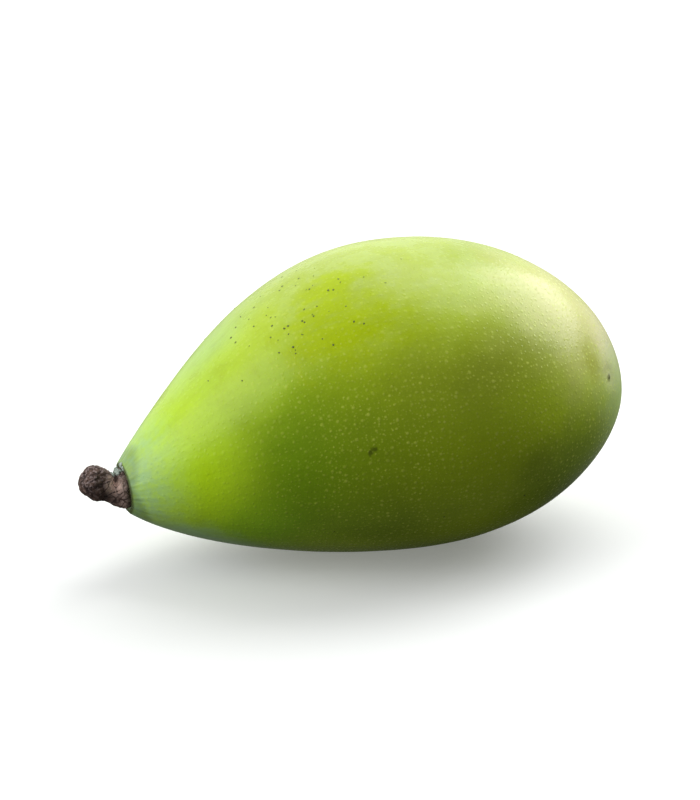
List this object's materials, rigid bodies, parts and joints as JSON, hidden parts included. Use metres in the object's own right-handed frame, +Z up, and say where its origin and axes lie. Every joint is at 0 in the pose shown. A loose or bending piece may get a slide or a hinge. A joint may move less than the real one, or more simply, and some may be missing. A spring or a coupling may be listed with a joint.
{
  "type": "mango",
  "caption": "Green mango with a tapering neck and a short broken stem, lying on a small flat spot on its belly.",
  "frame": {"origin": "centre of the flat spot that the fruit lies on", "axes": "+Z up, +X along the fruit from the stem to the apex, the two cheeks towards +Y and -Y"},
  "size_m": [0.1309, 0.0768, 0.0708],
  "materials": {
    "skin": "waxy satin skin, yellow-green with pale dots and a soft bloom",
    "stem": "rough dry brown bark with a corky collar"
  },
  "bodies": {
    "root": {"fruit": "skin", "stem": "stem"}
  },
  "joints": []
}
